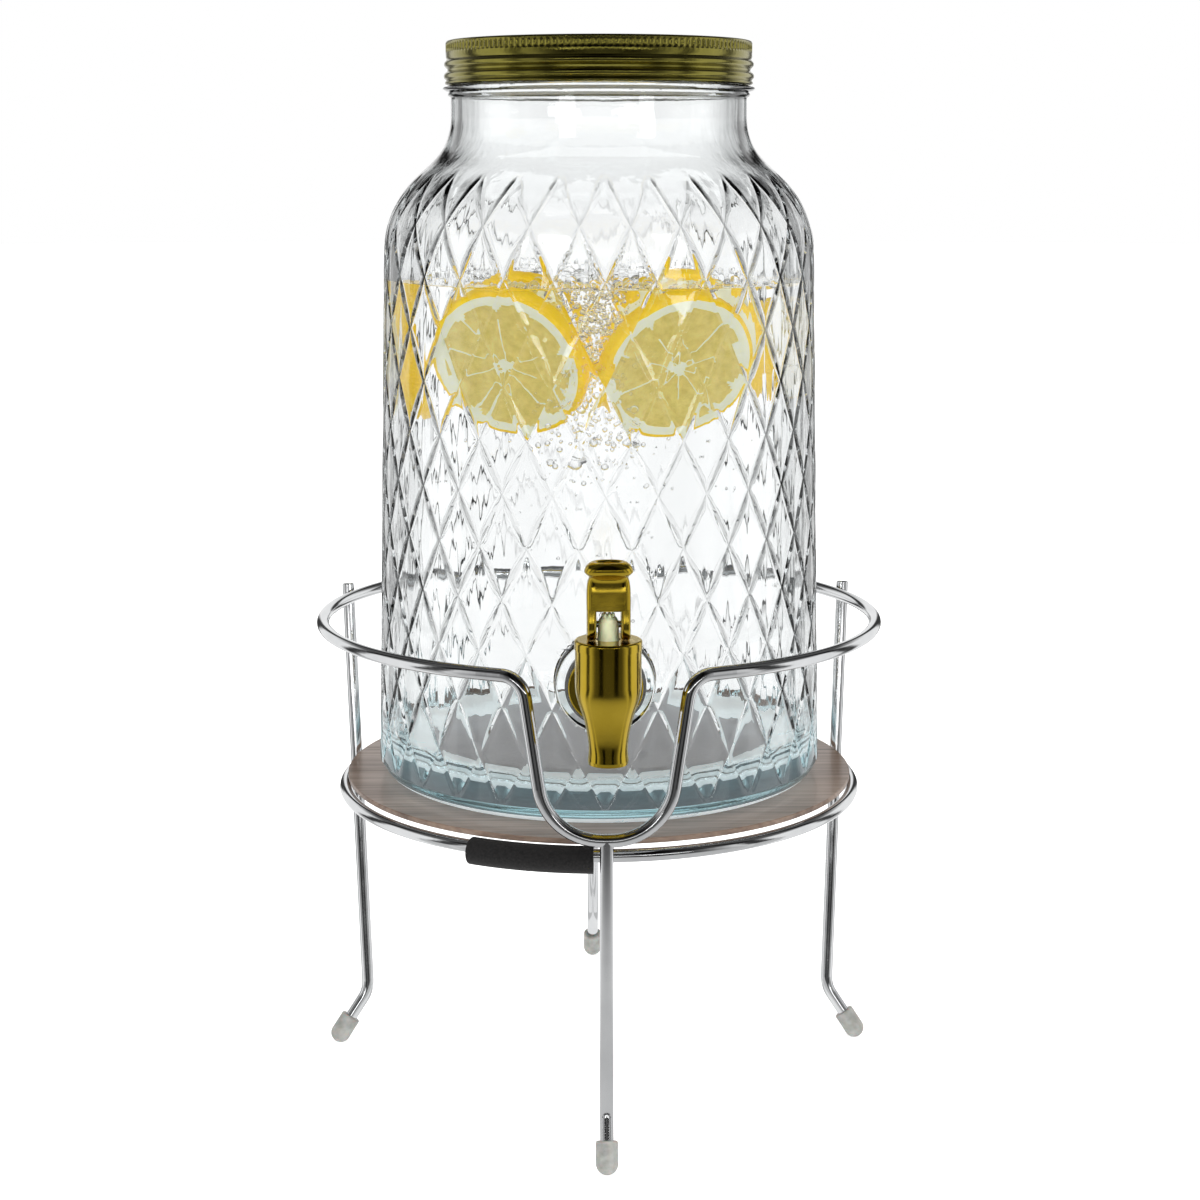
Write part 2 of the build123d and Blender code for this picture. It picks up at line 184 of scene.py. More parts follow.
def add_floor():
    mesh = bpy.data.meshes.new("floor")
    form = bmesh.new()
    bmesh.ops.create_circle(form, cap_ends=True, segments=96, radius=FLOOR_REACH)
    form.to_mesh(mesh)
    form.free()
    floor = put("floor", mesh)
    material, tree, shader = new_material("pale_floor", {
        "Roughness": 0.8, "Specular IOR Level": 0.2, "Emission Color": (1, 1, 1, 1),
        "Emission Strength": FLOOR_GLOW,
    })
    speckle = noise_node(tree, 3.0, 3)
    tint(shader, speckle, (0.86, 0.86, 0.86), (0.90, 0.90, 0.90))
    # glass and chrome see the floor as they see the studio
    place = tree.nodes.new("ShaderNodeTexCoord").outputs["Object"]
    split = tree.nodes.new("ShaderNodeSeparateXYZ")
    tree.links.new(place, split.inputs[0])
    x, y, _ = split.outputs
    turn = studio_turn(tree, x, y)
    squares = math_node(tree, "MULTIPLY_ADD", x, x, math_node(tree, "MULTIPLY", y, y))
    reach = math_node(tree, "SQRT", squares)
    near_through = map_range(tree, reach, 0.55, 0.95, 1.0, 0.0)
    near_mirrored = map_range(tree, reach, 0.25, 0.6, 0.6, 0.0)
    through = math_node(tree, "MAXIMUM", seen_through(tree, turn), near_through)
    mirrored = math_node(tree, "MAXIMUM", seen_mirrored(tree, turn), near_mirrored)
    rays = tree.nodes.new("ShaderNodeLightPath").outputs
    strength = math_node(tree, "MULTIPLY", rays["Is Transmission Ray"], through)
    strength = math_node(tree, "MULTIPLY_ADD", reflected_ray(tree, rays), mirrored, strength)
    seen = tree.nodes.new("ShaderNodeEmission")
    tree.links.new(strength, seen.inputs["Strength"])
    mix = tree.nodes.new("ShaderNodeMixShader")
    either = math_node(tree, "MAXIMUM", rays["Is Transmission Ray"], rays["Is Glossy Ray"])
    tree.links.new(either, mix.inputs[0])
    tree.links.new(shader.outputs[0], mix.inputs[1])
    tree.links.new(seen.outputs[0], mix.inputs[2])
    tree.links.new(mix.outputs[0], tree.nodes["Material Output"].inputs["Surface"])
    mesh.materials.append(material)


# ---- material helpers ---------------------------------------------------------------------
def new_material(name, settings):
    """A material with its tree and its shader, whose sockets are set as settings says."""
    material = bpy.data.materials.new(name)
    material.use_nodes = True
    tree = material.node_tree
    shader = tree.nodes["Principled BSDF"]
    for socket, value in settings.items():
        shader.inputs[socket].default_value = value
    return material, tree, shader


def mapped_place(tree, stretch):
    place = tree.nodes.new("ShaderNodeTexCoord").outputs["Object"]
    mapping = tree.nodes.new("ShaderNodeMapping")
    mapping.inputs["Scale"].default_value = stretch
    tree.links.new(place, mapping.inputs["Vector"])
    return mapping.outputs[0]


def noise_node(tree, scale, detail=4, stretch=(1, 1, 1), roughness=0.5):
    """Noise in the row frame: scale is in features per metre."""
    node = tree.nodes.new("ShaderNodeTexNoise")
    node.inputs["Scale"].default_value = scale
    node.inputs["Detail"].default_value = detail
    node.inputs["Roughness"].default_value = roughness
    tree.links.new(mapped_place(tree, stretch), node.inputs["Vector"])
    return node.outputs["Fac"]


def cells_node(tree, scale):
    """Distance to the middle of the nearest cell."""
    node = tree.nodes.new("ShaderNodeTexVoronoi")
    node.inputs["Scale"].default_value = scale
    tree.links.new(mapped_place(tree, (1, 1, 1)), node.inputs["Vector"])
    return node.outputs["Distance"]


def ramp(shader, socket, value, *stops):
    """Feeds a socket with a colour ramp over value. stops are (position, colour or number)."""
    tree = shader.id_data
    node = tree.nodes.new("ShaderNodeValToRGB")
    elements = node.color_ramp.elements
    while len(elements) < len(stops):
        elements.new(0.5)
    for element, (position, colour) in zip(elements, stops):
        element.position = position
        if isinstance(colour, (int, float)):
            colour = (colour,) * 3
        element.color = (*colour, 1)
    tree.links.new(value, node.inputs["Fac"])
    tree.links.new(node.outputs["Color"], shader.inputs[socket])


def tint(shader, value, dark, pale):
    ramp(shader, "Base Color", value, (0.3, dark), (0.7, pale))


def gloss(shader, value, low, high):
    ramp(shader, "Roughness", value, (0.3, low), (0.7, high))


def bump(shader, height, strength, distance):
    tree = shader.id_data
    node = tree.nodes.new("ShaderNodeBump")
    node.inputs["Strength"].default_value = strength
    node.inputs["Distance"].default_value = distance
    tree.links.new(height, node.inputs["Height"])
    tree.links.new(node.outputs["Normal"], shader.inputs["Normal"])


def painted_glow(shader, colour, strength):
    """Painted light: an emission glow that stands in for the light a wet translucent piece passes on
    from behind.
    """
    shader.inputs["Emission Color"].default_value = (*colour, 1)
    shader.inputs["Emission Strength"].default_value = strength


# ---- materials ----------------------------------------------------------------------------
def chrome():
    material, tree, shader = new_material("chromed_wire", {"Metallic": 1.0})
    smudge = noise_node(tree, 60, 3)
    tint(shader, smudge, (0.70, 0.71, 0.72), (0.80, 0.81, 0.82))
    ramp(shader, "Roughness", smudge, (0.35, 0.05), (0.75, 0.14))
    bump(shader, noise_node(tree, 240, 2, (1, 1, 0.3)), 0.05, 0.0004)
    return material


def cap_rubber():
    material, tree, shader = new_material("milky_rubber", {
        "Roughness": 0.42, "IOR": 1.45, "Subsurface Weight": 0.35, "Subsurface Scale": 0.003,
        "Coat Weight": 0.2,
    })
    clouds = noise_node(tree, 260, 4)
    tint(shader, clouds, (0.20, 0.205, 0.19), (0.34, 0.345, 0.325))
    bump(shader, clouds, 0.25, 0.0004)
    return material


def foam():
    material, tree, shader = new_material("black_foam", {
        "Sheen Weight": 0.05, "Specular IOR Level": 0.25, "Sheen Roughness": 0.6,
    })
    grain = noise_node(tree, 1500, 6)
    ramp(shader, "Base Color", grain, (0.35, (0.003, 0.003, 0.003)), (0.7, (0.013, 0.012, 0.012)))
    ramp(shader, "Roughness", grain, (0.3, 0.62), (0.8, 0.9))
    bump(shader, grain, 0.5, 0.0004)
    return material


FINE_SHARE = 0.38                       # of the fine grain in the colour of the board


def walnut():
    """Straight grain along X, a printed melamine face with a soft gloss."""
    material, tree, shader = new_material("walnut_board", {
        "Coat Weight": 0.25, "Coat Roughness": 0.12,
    })
    broad = noise_node(tree, 26, 6, (0.16, 1, 1), roughness=0.6)
    fine = noise_node(tree, 420, 5, (0.035, 1, 1), roughness=0.6)
    grain = math_node(tree, "MULTIPLY", fine, FINE_SHARE)
    grain = math_node(tree, "ADD", math_node(tree, "MULTIPLY", broad, 1 - FINE_SHARE), grain)
    ramp(
        shader, "Base Color", grain,
        (0.34, (0.035, 0.022, 0.015)),
        (0.46, (0.115, 0.074, 0.052)),
        (0.56, (0.185, 0.128, 0.094)),
        (0.68, (0.260, 0.190, 0.145)),
    )
    gloss(shader, fine, 0.42, 0.28)
    bump(shader, fine, 0.15, 0.0003)
    return material


def glass():
    """Clear glass with a faint cool tint that shows where it is thick."""
    material, tree, shader = new_material("pressed_glass", {
        "Base Color": (1, 1, 1, 1), "Roughness": 0.0, "IOR": 1.5, "Transmission Weight": 1.0,
    })
    streaks = noise_node(tree, 210, 2, (1, 1, 0.16))
    bump(shader, streaks, 0.06, 0.0012)
    absorb = tree.nodes.new("ShaderNodeVolumeAbsorption")
    absorb.inputs["Color"].default_value = (0.60, 0.84, 0.88, 1)
    absorb.inputs["Density"].default_value = 10.0
    tree.links.new(absorb.outputs[0], tree.nodes["Material Output"].inputs["Volume"])
    return material


def frosted_glass():
    """The stippled underside of the base, which scatters light. A painted glow stands in for the light
    it passes on.
    """
    material, tree, shader = new_material("frosted_glass", {"IOR": 1.5, "Transmission Weight": 0.5})
    # painted light: the base glows pale blue-white, though it is no lamp
    painted_glow(shader, (0.84, 0.93, 0.95), 0.40)
    clouds = noise_node(tree, 75, 5, roughness=0.6)
    ramp(shader, "Base Color", clouds, (0.3, (0.66, 0.80, 0.84)), (0.65, (0.95, 0.98, 0.99)))
    ramp(shader, "Roughness", clouds, (0.35, 0.25), (0.65, 0.6))
    bump(shader, noise_node(tree, 420, 3), 0.5, 0.0006)
    return material


def misted_glass():
    """The floor of the jar, which shows grey, brightened by a faint painted glow."""
    material, tree, shader = new_material("misted_glass", {"IOR": 1.5, "Transmission Weight": 0.45})
    # painted light: a faint grey glow on the floor of the jar, though it is no lamp
    painted_glow(shader, (0.62, 0.63, 0.66), 0.16)
    grain = noise_node(tree, 600, 4)
    tint(shader, grain, (0.40, 0.40, 0.42), (0.56, 0.57, 0.59))
    gloss(shader, grain, 0.35, 0.6)
    return material


# water that bends light far less than real water does, so the far wall shows undistorted
WATER_IOR = 1.04


def water():
    material, tree, shader = new_material("still_water", {
        "Base Color": (1, 1, 1, 1), "Roughness": 0.0, "IOR": WATER_IOR, "Transmission Weight": 1.0,
    })
    bump(shader, noise_node(tree, 60, 1), 0.02, 0.001)
    return material


def foam_film():
    """Thin soap-like skin of a bubble: clear, with a bright rim."""
    material, tree, shader = new_material("bubble_film", {
        "Base Color": (1, 1, 1, 1), "Roughness": 0.02, "IOR": 1.28, "Transmission Weight": 1.0,
    })
    bump(shader, noise_node(tree, 500, 1), 0.05, 0.0004)
    return material


def peel():
    material, tree, shader = new_material("lemon_peel", {"Coat Weight": 0.3})
    tone = noise_node(tree, 90, 4)
    tint(shader, tone, (0.92, 0.58, 0.004), (0.98, 0.72, 0.01))
    # painted light: a yellow glow brightens the peel, though it is no lamp
    painted_glow(shader, (1.0, 0.64, 0.004), 0.40)
    gloss(shader, tone, 0.4, 0.55)
    bump(shader, cells_node(tree, 900), 0.5, 0.0006)
    return material


def pith():
    material, tree, shader = new_material("lemon_pith", {})
    tone = noise_node(tree, 330, 4)
    tint(shader, tone, (0.80, 0.82, 0.60), (0.90, 0.91, 0.74))
    # painted light: a pale glow brightens the pith, though it is no lamp
    painted_glow(shader, (0.90, 0.92, 0.68), 0.34)
    gloss(shader, tone, 0.6, 0.75)
    bump(shader, tone, 0.3, 0.0005)
    return material


def flesh():
    material, tree, shader = new_material("lemon_flesh", {
        "Subsurface Weight": 0.2, "Subsurface Scale": 0.004,
    })
    tone = noise_node(tree, 260, 5, roughness=0.6)
    tint(shader, tone, (0.58, 0.47, 0.09), (0.82, 0.70, 0.22))
    # painted light: a warm glow brightens the flesh, though it is no lamp
    painted_glow(shader, (0.86, 0.68, 0.20), 0.34)
    gloss(shader, tone, 0.3, 0.5)
    bump(shader, cells_node(tree, 420), 0.4, 0.0008)
    return material


def gold_lacquer():
    material, tree, shader = new_material("gold_lacquer", {
        "Metallic": 1.0, "Coat Weight": 0.4, "Coat Roughness": 0.2,
    })
    tone = noise_node(tree, 120, 4)
    tint(shader, tone, (0.225, 0.200, 0.030), (0.30, 0.265, 0.045))
    gloss(shader, tone, 0.17, 0.26)
    bump(shader, noise_node(tree, 900, 3), 0.06, 0.0003)
    return material


def gold_plastic():
    material, tree, shader = new_material("gold_plastic", {"Metallic": 1.0})
    tone = noise_node(tree, 70, 3)
    tint(shader, tone, (0.50, 0.35, 0.030), (0.60, 0.43, 0.045))
    gloss(shader, tone, 0.10, 0.19)
    bump(shader, noise_node(tree, 160, 2), 0.08, 0.0005)
    return material


def clear_silicone():
    material, tree, shader = new_material("clear_silicone", {
        "Base Color": (0.96, 0.98, 0.98, 1), "IOR": 1.41, "Transmission Weight": 0.9,
    })
    frost = noise_node(tree, 400, 3)
    gloss(shader, frost, 0.05, 0.16)
    return material


def cream_silicone():
    material, tree, shader = new_material("cream_silicone", {
        "Subsurface Weight": 0.3, "Subsurface Scale": 0.003,
    })
    tone = noise_node(tree, 300, 3)
    tint(shader, tone, (0.60, 0.62, 0.38), (0.74, 0.76, 0.52))
    gloss(shader, tone, 0.4, 0.55)
    return material


def pin_steel():
    material, tree, shader = new_material("pin_steel", {"Metallic": 1.0})
    brush = noise_node(tree, 900, 2, (0.1, 1, 1))
    tint(shader, brush, (0.42, 0.42, 0.43), (0.6, 0.6, 0.61))
    gloss(shader, brush, 0.2, 0.35)
    return material


def liner_plastic():
    material, tree, shader = new_material("liner_plastic", {})
    tone = noise_node(tree, 150, 3)
    tint(shader, tone, (0.74, 0.74, 0.72), (0.82, 0.82, 0.80))
    gloss(shader, tone, 0.45, 0.6)
    bump(shader, tone, 0.1, 0.0003)
    return material


# ---- mesh helpers -------------------------------------------------------------------------
class Skin:
    """Vertices and faces of one piece, gathered ring by ring."""

    def __init__(self):
        self.points, self.faces, self.slots = [], [], []

    def add(self, points):
        """Adds points and returns their numbers."""
        first = len(self.points)
        self.points.extend(points)
        return list(range(first, len(self.points)))

    def ring(self, radius, height, count, centre=(0.0, 0.0), start=0.0):
        """A circle of points. radius and height are each a number, or one for each point."""
        radii = np.broadcast_to(np.asarray(radius, float), (count,))
        heights = np.broadcast_to(np.asarray(height, float), (count,))
        turns = start + np.arange(count) * (2 * math.pi / count)
        x, y = centre
        return self.add(
            (x + r * math.cos(t), y + r * math.sin(t), h) for r, h, t in zip(radii, heights, turns)
        )

    def face(self, corners, slot=0):
        self.faces.append(tuple(corners))
        self.slots.append(slot)

    def join(self, lower, upper, slot=0):
        """Quads between two rings of equal count."""
        count = len(lower)
        for i in range(count):
            j = (i + 1) % count
            self.face((lower[i], lower[j], upper[j], upper[i]), slot)

    def zip(self, ring_a, ring_b, angle, slot=0):
        """Triangles between two closed loops of any count. angle gives a point's turn."""
        a = sorted(ring_a, key=lambda i: angle(self.points[i]))
        b = sorted(ring_b, key=lambda i: angle(self.points[i]))
        turn_a = [angle(self.points[i]) for i in a] + [angle(self.points[a[0]]) + 2 * math.pi]
        turn_b = [angle(self.points[i]) for i in b] + [angle(self.points[b[0]]) + 2 * math.pi]
        i = j = 0
        while i < len(a) or j < len(b):
            if j >= len(b) or (i < len(a) and turn_a[i + 1] <= turn_b[j + 1]):
                self.face((a[i % len(a)], a[(i + 1) % len(a)], b[j % len(b)]), slot)
                i += 1
            else:
                self.face((a[i % len(a)], b[(j + 1) % len(b)], b[j % len(b)]), slot)
                j += 1

    def chain(self, rings):
        for lower, upper in zip(rings, rings[1:]):
            self.join(lower, upper)

    def fan(self, ring, centre, slot=0):
        tip = self.add([tuple(centre)])[0]
        for i in range(len(ring)):
            self.face((ring[i], ring[(i + 1) % len(ring)], tip), slot)

    def build(self, name, materials, body, sharp_angle=None, outward=True):
        mesh = bpy.data.meshes.new(name)
        mesh.from_pydata(self.points, [], self.faces)
        for material in materials:
            mesh.materials.append(material)
        mesh.polygons.foreach_set("material_index", self.slots)
        if outward:
            form = bmesh.new()
            form.from_mesh(mesh)
            bmesh.ops.recalc_face_normals(form, faces=form.faces)
            form.to_mesh(mesh)
            form.free()
        mesh.polygons.foreach_set("use_smooth", [True] * len(mesh.polygons))
        if sharp_angle is not None:
            mesh.set_sharp_from_angle(angle=math.radians(sharp_angle))
        mesh.update()
        piece = put(name, mesh)
        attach(piece, body)
        return piece


def flat_turn(point):
    return math.atan2(point[1], point[0]) % (2 * math.pi)


def turn_about_tap(point):
    """Turn of a point about the tap's shank, seen from the front."""
    return math.atan2(point[2] - tap_hole_z, point[0]) % (2 * math.pi)


def node_tree(name):
    """The mesh of a carried-over CAD node, ready for ray casts."""
    mesh = nodes[name].data
    return BVHTree.FromPolygons([v.co for v in mesh.vertices], [p.vertices for p in mesh.polygons])


# ---- jar: profile read from the frame -----------------------------------------------------
jar_low, jar_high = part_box("glass_jar")
hole_low, hole_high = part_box("tap_gasket_outer")
tap_hole_z = (hole_low.z + hole_high.z) / 2
BOSS_FACE_Y = jar_low.y
BOSS_BACK_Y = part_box("tap_gasket_inner")[0].y
jar_tree = node_tree("glass_jar")


def cast_radius(height, inner):
    """Radius of the jar's wall at a height, the largest over a few directions away from the tap."""
    found = []
    for degrees in range(20, 160, 10):
        way = Vector((math.cos(math.radians(degrees)), math.sin(math.radians(degrees)), 0))
        start = Vector((0, 0, height)) + (Vector() if inner else way * 0.3)
        hit = jar_tree.ray_cast(start, way if inner else -way)[0]
        if hit is not None:
            found.append(math.hypot(hit.x, hit.y))
    return max(found)


def read_profile(heights, inner):
    """Radii of the jar's wall at heights, and the same with the facets of the CAD mesh eased."""
    raw = np.array([cast_radius(float(h), inner) for h in heights])
    window = np.hanning(17)
    padded = np.concatenate([np.full(8, raw[0]), raw, np.full(8, raw[-1])])
    return raw, np.convolve(padded, window / window.sum(), mode="valid")


SAMPLE = 0.5 * MM
EASED_LOW, EASED_HIGH = 0.150, 0.402    # the stretch whose outer profile is eased
HEEL_TOP = 0.139                        # where the straight wall starts
FINISH_LOW = 0.4055                     # where the bead and the thread start
body_heights = np.arange(HEEL_TOP, FINISH_LOW + 1 * MM, SAMPLE)
raw_profile, eased_profile = read_profile(body_heights, False)
is_eased = (body_heights > EASED_LOW) & (body_heights < EASED_HIGH)
outer_profile = np.where(is_eased, eased_profile, raw_profile)

inner_floor = jar_tree.ray_cast(Vector((0.01, 0.01, 0.3)), Vector((0, 0, -1)))[0].z
inner_heights = np.arange(inner_floor + 13.5 * MM, jar_high.z - 0.5 * MM, SAMPLE)
inner_profile = read_profile(inner_heights, True)[1]


def outer_radius(height):
    return float(np.interp(height, body_heights, outer_profile))


def inner_radius(height):
    return float(np.interp(height, inner_heights, inner_profile))


# ---- jar: diamond pattern -----------------------------------------------------------------
DIAMONDS = 28
HALF_TURN = math.pi / DIAMONDS          # half the width of a diamond, as an angle
STEPS = 12              # mesh steps along each side of a diamond
TIP_LOW = 0.1357                        # where the lowest grooves run out
FIRST_CROSSING = 0.1535
CROSSINGS = 12
ASPECT = 2.02                           # height of a diamond over its width
GROOVE_HALF = 1.5 * MM
GROOVE_DEPTH = 0.55 * MM
CROWN = 0.26 * MM                       # rise of a diamond from its edges to its middle


def crossing_heights():
    rows = [TIP_LOW, FIRST_CROSSING]
    while len(rows) <= CROSSINGS:
        rows.append(rows[-1] + ASPECT * HALF_TURN * outer_radius(rows[-1]))
    return rows


def pattern_drop(column, row, radius, pitch):
    """How far the surface lies under the smooth wall. column and row count half diamonds."""
    a, b = math.floor(column), math.floor(row)
    across, up = column - a, row - b
    if (a + b) % 2 == 0:
        offset, along = abs(across - up), (across + up) / 2
    else:
        offset, along = abs(across + up - 1), (up + 1 - across) / 2
    width = HALF_TURN * radius
    reach = width * pitch / math.hypot(width, pitch)
    swell = math.sin(math.pi * along)
    if b >= CROSSINGS - 1:
        swell = 1.15 * math.sin(math.pi / 2 * along)      # the top ends in open wedges
    elif b < 1:
        swell = 1.15 * math.cos(math.pi / 2 * along)
    half = GROOVE_HALF * (0.42 + 0.58 * swell)
    deep = GROOVE_DEPTH * (0.50 + 0.50 * swell)
    distance = offset * reach
    groove = max(0.0, 1.0 - distance / half)
    drop = deep * groove ** 1.25 + CROWN * (1.0 - offset) ** 1.15
    ends = min(1.0, row / 0.22, (CROSSINGS - row) / 0.20)
    return drop * max(0.0, ends) ** 0.8


def patterned_rows(skin):
    """The rings of the patterned wall, from the lower tips to the upper ones."""
    heights = crossing_heights()
    count = 2 * DIAMONDS * STEPS
    start = -math.pi / 2                # column 0 is straight ahead
    rings = []
    for k in range(CROSSINGS):
        low, high = heights[k], heights[k + 1]
        for step in range(STEPS):
            height = low + (high - low) * step / STEPS
            radius = outer_radius(height)
            row = k + step / STEPS
            drops = [pattern_drop(c / STEPS, row, radius, high - low) for c in range(count)]
            rings.append(skin.ring(radius - np.array(drops), height, count, start=start))
    rings.append(skin.ring(outer_radius(heights[-1]), heights[-1], count, start=start))
    return rings, heights


def join_patterned(skin, rings):
    """Triangles whose diagonals run along the grooves."""
    count = len(rings[0])
    for k in range(len(rings) - 1):
        low, high = rings[k], rings[k + 1]
        for i in range(count):
            j = (i + 1) % count
            if (i // STEPS + k // STEPS) % 2 == 0:
                skin.face((low[i], low[j], high[j]))
                skin.face((low[i], high[j], high[i]))
            else:
                skin.face((low[i], low[j], high[i]))
                skin.face((low[j], high[j], high[i]))


WALL_MIDDLE = 88.5 * MM                 # radius between the outer and the inner wall
WALL_INSIDE = 80.0 * MM                 # less than the inner wall's radius
FRONT_REACH = 70.0 * MM                 # keeps the search to the tap's side


def open_hole(skin, outside, radius):
    """Removes the faces near the tap's hole on one wall and returns the loop that is left."""
    edge_use = {}
    kept_faces, kept_slots = [], []
    for corners, slot in zip(skin.faces, skin.slots):
        middle = np.mean([skin.points[c] for c in corners], axis=0)
        distance = math.hypot(middle[0], middle[2] - tap_hole_z)
        wall = math.hypot(middle[0], middle[1])
        on_wall = wall > WALL_MIDDLE if outside else WALL_INSIDE < wall <= WALL_MIDDLE
        if middle[1] < -FRONT_REACH and distance < radius and on_wall:
            for m in range(len(corners)):
                edge = frozenset((corners[m], corners[(m + 1) % len(corners)]))
                edge_use[edge] = edge_use.get(edge, 0) + 1
        else:
            kept_faces.append(corners)
            kept_slots.append(slot)
    skin.faces, skin.slots = kept_faces, kept_slots
    loop = set()
    for edge, uses in edge_use.items():
        if uses == 1:
            loop |= edge
    return sorted(loop, key=lambda i: turn_about_tap(skin.points[i]))


BOSS_POINTS = 72


def front_ring(skin, radius, y):
    """A ring about the shank. y is a number, or a function of x."""
    points = []
    for i in range(BOSS_POINTS):
        t = 2 * math.pi * i / BOSS_POINTS
        x = radius * math.cos(t)
        depth = y(x) if callable(y) else y
        points.append((x, depth, tap_hole_z + radius * math.sin(t)))
    return skin.add(points)


CLEAR, FROSTED, MISTED = 0, 1, 2        # the jar's material slots
SMOOTH_POINTS = 2 * DIAMONDS * 4        # points of a ring of the plain wall
INNER_CORNER = 14 * MM
OUTER_CORNER = 9 * MM
RIM_READ = 0.4235                       # height at which the rim's two radii are read
KNURLS = 168                            # of the standing ring


def add_neck(skin, top_row, top_row_z):
    """Neck and finish, from the pattern up and over the rim. Returns the last ring."""
    neck = list(np.arange(top_row_z + 1.5 * MM, FINISH_LOW, 1.5 * MM))
    finish = list(np.arange(FINISH_LOW + 0.4 * MM, jar_high.z - 0.4 * MM, 0.35 * MM))
    previous = None
    for height in neck + finish:
        radius = outer_radius(height) if height < FINISH_LOW else cast_radius(height, False)
        ring = skin.ring(radius, height, SMOOTH_POINTS)
        if previous is None:
            skin.zip(top_row, ring, flat_turn)
        else:
            skin.join(previous, ring)
        previous = ring
    rim_out, rim_in = cast_radius(RIM_READ, False), cast_radius(RIM_READ, True)
    middle, half = (rim_out + rim_in) / 2, (rim_out - rim_in) / 2
    for turn in np.linspace(0, math.pi, 9):
        height = jar_high.z - half + half * math.sin(turn)
        ring = skin.ring(middle + half * math.cos(turn), height, SMOOTH_POINTS)
        skin.join(previous, ring)
        previous = ring
    return previous


def add_inside(skin, previous):
    """The inside wall, down from the rim, and the floor of the jar."""
    corner_z = inner_floor + INNER_CORNER
    upper = list(np.arange(jar_high.z - 3 * MM, 0.396, -4 * MM))
    for height in upper + list(np.arange(0.394, corner_z, -2 * MM)):
        ring = skin.ring(inner_radius(height), height, SMOOTH_POINTS)
        skin.join(previous, ring)
        previous = ring
    flat = inner_radius(corner_z) - INNER_CORNER
    for turn in np.linspace(0, math.pi / 2, 10)[1:]:
        radius = flat + INNER_CORNER * math.cos(turn)
        ring = skin.ring(radius, corner_z - INNER_CORNER * math.sin(turn), SMOOTH_POINTS)
        skin.join(previous, ring, FROSTED if turn > 0.9 else CLEAR)
        previous = ring
    # the moulded floor is not quite flat
    for share in (0.93, 0.85, 0.76, 0.66, 0.56, 0.46, 0.36, 0.26, 0.16, 0.07):
        radius = flat * share
        ripple = []
        for t in np.arange(SMOOTH_POINTS) * (2 * math.pi / SMOOTH_POINTS):
            place = Vector((math.cos(t) * radius * 60, math.sin(t) * radius * 60, 3.1))
            ripple.append(0.9 * MM * noise.noise(place))
        dome = 1.6 * MM * (1 - share) * (1 if share > 0.3 else share / 0.3)
        ring = skin.ring(radius, inner_floor + dome + np.array(ripple), SMOOTH_POINTS)
        skin.join(previous, ring, MISTED if share < 0.9 else FROSTED)
        previous = ring
    skin.fan(previous, (0, 0, inner_floor + 0.2 * MM), MISTED)


def add_base(skin, bottom_row):
    """Outside of the base: rounded corner, stippled standing ring and a shallow hollow."""
    base_r, base_z = outer_radius(HEEL_TOP), jar_low.z
    previous = None
    for turn in np.linspace(0, math.pi / 2, 12):
        z = base_z + OUTER_CORNER - OUTER_CORNER * math.sin(turn)
        if z > TIP_LOW - 0.3 * MM:
            continue
        radius = base_r - OUTER_CORNER + OUTER_CORNER * math.cos(turn)
        ring = skin.ring(radius, z, SMOOTH_POINTS)
        if previous is None:
            skin.zip(bottom_row, ring, flat_turn)
        else:
            skin.join(previous, ring, FROSTED if turn > 0.75 else CLEAR)
        previous = ring
    knurl_points = 3 * KNURLS
    knurls = skin.ring(81.5 * MM, base_z, knurl_points)
    skin.zip(previous, knurls, flat_turn, FROSTED)
    lifted = np.where(np.arange(knurl_points) % 3 == 0, 0.0, 0.55 * MM)
    for radius in (80.9, 76.6):
        ring = skin.ring(radius * MM, base_z + lifted, knurl_points)
        skin.join(knurls, ring, FROSTED)
        knurls = ring
    hollow = skin.ring(76.0 * MM, base_z, SMOOTH_POINTS)
    skin.zip(knurls, hollow, flat_turn, FROSTED)
    rings = [hollow]
    for radius, rise in ((72, 0.9), (66, 1.9), (56, 2.5), (44, 2.9), (30, 3.2), (15, 3.35)):
        rings.append(skin.ring(radius * MM, base_z + rise * MM, SMOOTH_POINTS))
    skin.chain(rings)
    skin.fan(rings[-1], (0, 0, base_z + 3.4 * MM))


BOSS_R, HOLE_R = 19.0 * MM, 8.25 * MM
BOSS_CUT = 20.2 * MM                    # the walls are opened this far for the boss
BOSS_EDGE, HOLE_EDGE = 0.8 * MM, 0.4 * MM


def add_boss(skin):
    """Boss for the tap, with the hole through it."""
    outer_loop = open_hole(skin, True, BOSS_CUT)
    inner_loop = open_hole(skin, False, BOSS_CUT)
    wall_out, wall_in = outer_radius(tap_hole_z), inner_radius(tap_hole_z)
    root = BOSS_R + 0.3 * MM
    rings = [front_ring(skin, root, lambda x: -math.sqrt(wall_out**2 - x**2) + 0.1 * MM)]
    for turn in np.linspace(0, math.pi / 2, 5):
        r = BOSS_R - BOSS_EDGE + BOSS_EDGE * math.cos(turn)
        rings.append(front_ring(skin, r, BOSS_FACE_Y + BOSS_EDGE - BOSS_EDGE * math.sin(turn)))
    for radius, y in (
        (HOLE_R + HOLE_EDGE, BOSS_FACE_Y), (HOLE_R, BOSS_FACE_Y + HOLE_EDGE),
        (HOLE_R, BOSS_BACK_Y - HOLE_EDGE), (HOLE_R + HOLE_EDGE, BOSS_BACK_Y),
        (BOSS_R - 0.6 * MM, BOSS_BACK_Y),
    ):
        rings.append(front_ring(skin, radius, y))
    rings.append(front_ring(skin, root, lambda x: -math.sqrt(wall_in**2 - x**2)))
    skin.chain(rings)
    skin.zip(outer_loop, rings[0], turn_about_tap)
    skin.zip(inner_loop, rings[-1], turn_about_tap)


